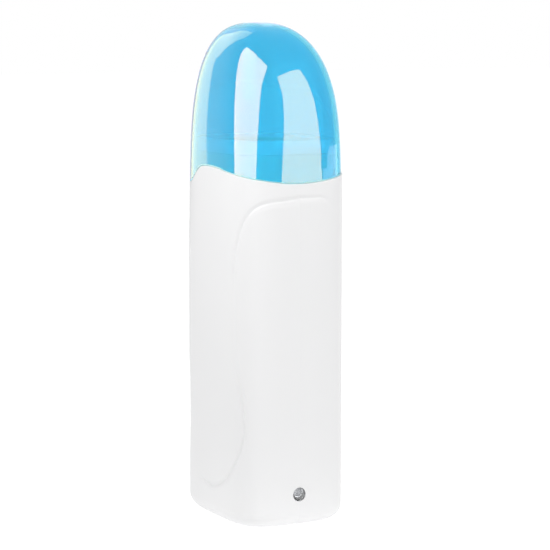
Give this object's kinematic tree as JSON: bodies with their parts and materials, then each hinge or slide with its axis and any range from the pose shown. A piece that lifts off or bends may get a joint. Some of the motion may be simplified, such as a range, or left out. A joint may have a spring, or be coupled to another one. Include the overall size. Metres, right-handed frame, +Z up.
{
  "type": "roll-on wax heater",
  "caption": "Upright two-shell wax heater with a heated cartridge well, a pilot lamp, a rear two-pin inlet and a clear blue dome cap that lifts off.",
  "frame": {"origin": "middle of the housing's footprint, on the surface that the feet stand on", "axes": "+Z up, front face towards -Y, pilot lamp on the +X side"},
  "size_m": [0.0614, 0.0496, 0.1976],
  "materials": {
    "housing_white": "satin white moulded plastic",
    "neck_white": "satin white moulded plastic",
    "cap_blue": "clear blue, polished",
    "liner_plastic": "heat-proof plastic",
    "heat_aluminium": "plain",
    "steel": "plated",
    "brass_plate": "plain",
    "ceramic": "fired",
    "film_amber": "film",
    "felt": "felt",
    "black_plastic": "moulded",
    "board_green": "lacquered",
    "lamp_clear": "clear",
    "lead_brown": "sleeve",
    "lead_blue": "sleeve",
    "lead_white": "sleeve",
    "lead_red": "sleeve",
    "feet_rubber": "matt"
  },
  "bodies": {
    "housing": {"front_shell": "housing_white", "rear_shell": "housing_white", "neck_ring": "neck_white", "well_liner": "liner_plastic", "heat_plate": "heat_aluminium", "plate_rivets": "steel", "ptc_stones": "ceramic", "electrode_plates": "brass_plate", "heater_film": "film_amber", "heater_bracket": "steel", "bracket_screws": "steel", "insulation_pad": "felt", "thermostat": "black_plastic", "thermal_fuse": "brass_plate", "leaf_spring": "steel", "pilot_lamp": "lamp_clear", "lamp_spacer": "black_plastic", "lamp_board": "board_green", "board_parts": "ceramic", "inlet_body": "black_plastic", "inlet_pins": "brass_plate", "live_lead": "lead_brown", "neutral_lead": "lead_blue", "heater_links": "lead_white", "lamp_leads": "lead_red", "shell_screws": "steel", "base_plate": "housing_white", "base_screws": "steel", "base_feet": "feet_rubber"},
    "cap": {"cap": "cap_blue"}
  },
  "joints": [
    {"name": "cap_lift", "type": "slide", "parent": "housing", "child": "cap", "axis": [0, 0, 1], "range_m": [0, 0.08]}
  ]
}
